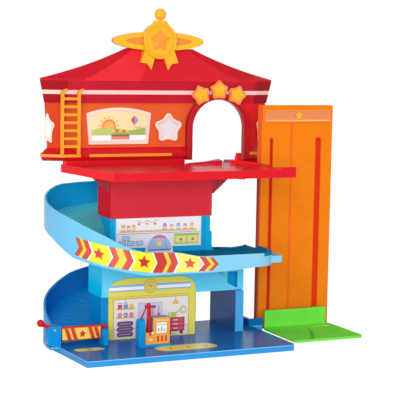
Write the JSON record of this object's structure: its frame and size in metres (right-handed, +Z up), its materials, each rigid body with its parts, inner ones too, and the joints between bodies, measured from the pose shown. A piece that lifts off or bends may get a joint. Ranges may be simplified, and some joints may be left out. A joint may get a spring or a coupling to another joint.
{
  "type": "toy parking garage with lift",
  "caption": "Toy garage with a doorway, spiral ramps, a deck with a tent-roofed house, a barrier, a pay station with a lever and a tower in which a platform slides up and down.",
  "frame": {"origin": "middle of the footprint, on the floor", "axes": "+Z up; the front with the doorway faces -Y; the lift tower stands at +X"},
  "size_m": [0.5522, 0.28, 0.542],
  "materials": {
    "blue": "moulded gloss",
    "dark_blue": "moulded gloss",
    "light_blue": "moulded gloss",
    "cyan": "moulded gloss",
    "red": "moulded gloss",
    "dark_red": "moulded gloss",
    "orange": "moulded gloss",
    "wall_orange": "moulded gloss",
    "yellow": "moulded gloss",
    "green": "moulded gloss",
    "pale_card": "matt card",
    "frame_yellow": "matt card",
    "pale_trim": "moulded gloss",
    "steel": "satin"
  },
  "bodies": {
    "garage": {"base_plate": "blue", "lower_walls": "blue", "garage_side_wall": "dark_blue", "second_storey": "cyan", "front_picture_board": "frame_yellow", "middle_floor": "light_blue", "middle_wall": "cyan", "middle_picture_panel": "pale_card", "dome_card": "pale_card", "upper_ramp_turn": "light_blue", "upper_ramp_straight": "light_blue", "lower_ramp_turn": "dark_blue", "lower_ramp_straight": "dark_blue", "upper_storey_box": "red", "gusset_right": "dark_red", "gusset_left": "dark_red", "deck": "red", "deck_rail_left": "red", "deck_rail_right": "red", "house_wall": "wall_orange", "house_end_wall": "red", "house_plinth": "red", "house_plinth_end": "red", "trim_corner": "yellow", "trim_front": "yellow", "trim_end": "yellow", "valance": "dark_red", "roof": "red", "arch_frame": "red", "arch_star_left": "yellow", "arch_star_middle": "yellow", "arch_star_right": "yellow", "window_frame": "pale_trim", "window_picture": "pale_card", "star_window": "pale_trim", "star_window_left": "pale_trim", "star_window_right": "pale_trim", "ladder": "yellow", "emblem_plate": "yellow", "emblem_medal": "yellow", "finial_ball": "yellow", "emblem_star": "orange", "ribbon_left": "yellow", "ribbon_right": "yellow", "station_body": "blue", "station_board": "orange", "station_lever_pin": "steel", "gate_post": "blue", "gate_pin": "steel", "gate_stop": "blue", "tower_casing": "orange", "tower_star": "yellow", "track_left": "red", "track_right": "red"},
    "lift": {"lift_carriage": "green", "lift_shoe_left": "red", "lift_shoe_right": "red"},
    "barrier": {"gate_arm": "red", "gate_panel": "yellow"},
    "lever": {"station_lever": "red"}
  },
  "joints": [
    {"name": "lift_slide", "type": "slide", "parent": "garage", "child": "lift", "axis": [0, 0, 1], "range_m": [0, 0.281]},
    {"name": "barrier_hinge", "type": "hinge", "parent": "garage", "child": "barrier", "pos_m": [-0.2489, -0.024, 0.037], "axis": [0, -1, 0], "range_deg": [0, 60]},
    {"name": "lever_hinge", "type": "hinge", "parent": "garage", "child": "lever", "pos_m": [-0.10841, -0.064, 0.03], "axis": [1, 0, 0], "range_deg": [-10, 20]}
  ]
}
